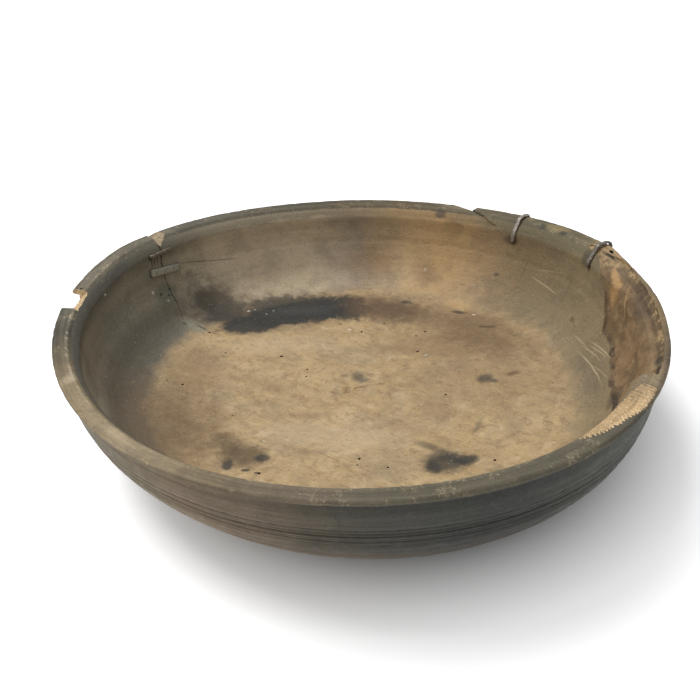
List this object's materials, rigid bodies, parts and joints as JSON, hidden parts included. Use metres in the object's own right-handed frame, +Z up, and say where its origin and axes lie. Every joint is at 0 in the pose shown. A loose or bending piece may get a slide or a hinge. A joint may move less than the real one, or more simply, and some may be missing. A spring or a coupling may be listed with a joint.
{
  "type": "cracked bowl",
  "caption": "Old turned wooden bowl, dried oval, with a cracked wall, broken and gnawed rim, turned grooves and metal staple repairs.",
  "frame": {"origin": "middle of the flat foot, at the height of the surface that the bowl stands on", "axes": "+Z up out of the bowl's mouth; the long crack is at the left (-X) and back (+Y), the gnawed rim at the right (+X) and front (-Y)"},
  "size_m": [0.3462, 0.3389, 0.0922],
  "materials": {
    "aged_wood": "dry, handled, grey-brown, worn and stained",
    "rusty_iron": "dull rusty",
    "dull_zinc": "dull grey",
    "bright_wire": "worn bright"
  },
  "bodies": {
    "root": {"bowl": "aged_wood", "wire_staple_upper": "rusty_iron", "strap_staple_lower": "dull_zinc", "rim_staple_back": "bright_wire", "rim_staple_side": "bright_wire"}
  },
  "joints": []
}
